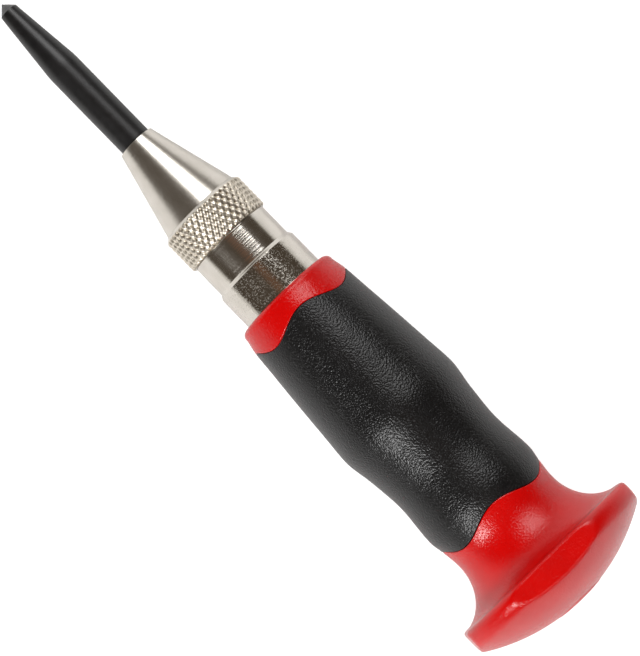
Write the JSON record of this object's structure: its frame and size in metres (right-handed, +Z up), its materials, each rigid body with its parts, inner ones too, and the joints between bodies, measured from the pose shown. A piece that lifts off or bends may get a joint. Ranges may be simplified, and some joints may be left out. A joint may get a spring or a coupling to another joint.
{
  "type": "automatic center punch",
  "caption": "Spring-loaded automatic center punch with a hardened point, knurled screw-off nose, soft contoured grip and a broad palm head; pressing the handle trips its inner hammer",
  "frame": {"origin": "middle of the tool's box, on the bench that it lies on", "axes": "+X from the punch tip to the palm end, +Z up from the bench, +Y across; the tool's own axis rises 6.908 degrees from +X towards the palm end, because it lies on the knurled nose and one palm flat"},
  "size_m": [0.164, 0.0428, 0.0431],
  "materials": {
    "black_oxide_steel": "black oxide, satin, with a ground tip",
    "nickel_plate": "satin nickel plate over turned steel",
    "hardened_steel": "ground and hardened",
    "spring_steel": "drawn wire",
    "nylon": "moulded",
    "red_plastic": "moulded with a fine spark texture",
    "black_rubber": "soft overmould with a fine leather grain"
  },
  "bodies": {
    "handle": {"handle_core": "red_plastic", "grip_sleeve": "black_rubber", "end_disc": "red_plastic", "barrel": "nickel_plate", "trip_sleeve": "hardened_steel", "main_spring": "spring_steel", "spring_washer": "hardened_steel", "rear_plug": "hardened_steel", "handle_pin": "hardened_steel"},
    "plunger": {"punch_point": "black_oxide_steel", "plunger": "hardened_steel", "drive_pin": "hardened_steel"},
    "hammer": {"hammer": "hardened_steel", "return_spring": "spring_steel", "sear_spring": "spring_steel"},
    "sear": {"sear": "hardened_steel"},
    "nose_stop": {"stop_washer": "nylon"},
    "nose": {"nose_cone": "nickel_plate"}
  },
  "joints": [
    {"name": "plunger_slide", "type": "slide", "parent": "handle", "child": "plunger", "axis": [0.9927, 0, 0.1203], "range_m": [0, 0.011], "stiffness_N_per_m": 5000, "springref_m": -0.004},
    {"name": "hammer_slide", "type": "slide", "parent": "handle", "child": "hammer", "axis": [0.9927, 0, 0.1203], "range_m": [0, 0.011], "deforming": ["main_spring"]},
    {"name": "sear_slide", "type": "slide", "parent": "hammer", "child": "sear", "axis": [0, 1, 0], "range_m": [0, 0.0012], "deforming": ["sear_spring"]},
    {"name": "nose_travel", "type": "slide", "parent": "handle", "child": "nose_stop", "axis": [-0.9927, 0, -0.1203], "range_m": [0, 0.0085]},
    {"name": "nose_unscrew", "type": "hinge", "parent": "nose_stop", "child": "nose", "pos_m": [-0.02149, 0, 0.0101], "axis": [-0.9927, 0, -0.1203], "range_deg": [0, 3060]}
  ],
  "couplings": [
    {"joint": "hammer_slide", "follows": "plunger_slide", "ratio": 1},
    {"joint": "sear_slide", "follows": "plunger_slide", "ratio": 0.10909},
    {"joint": "nose_unscrew", "follows": "nose_travel", "rad_per_m": 6283.2}
  ]
}
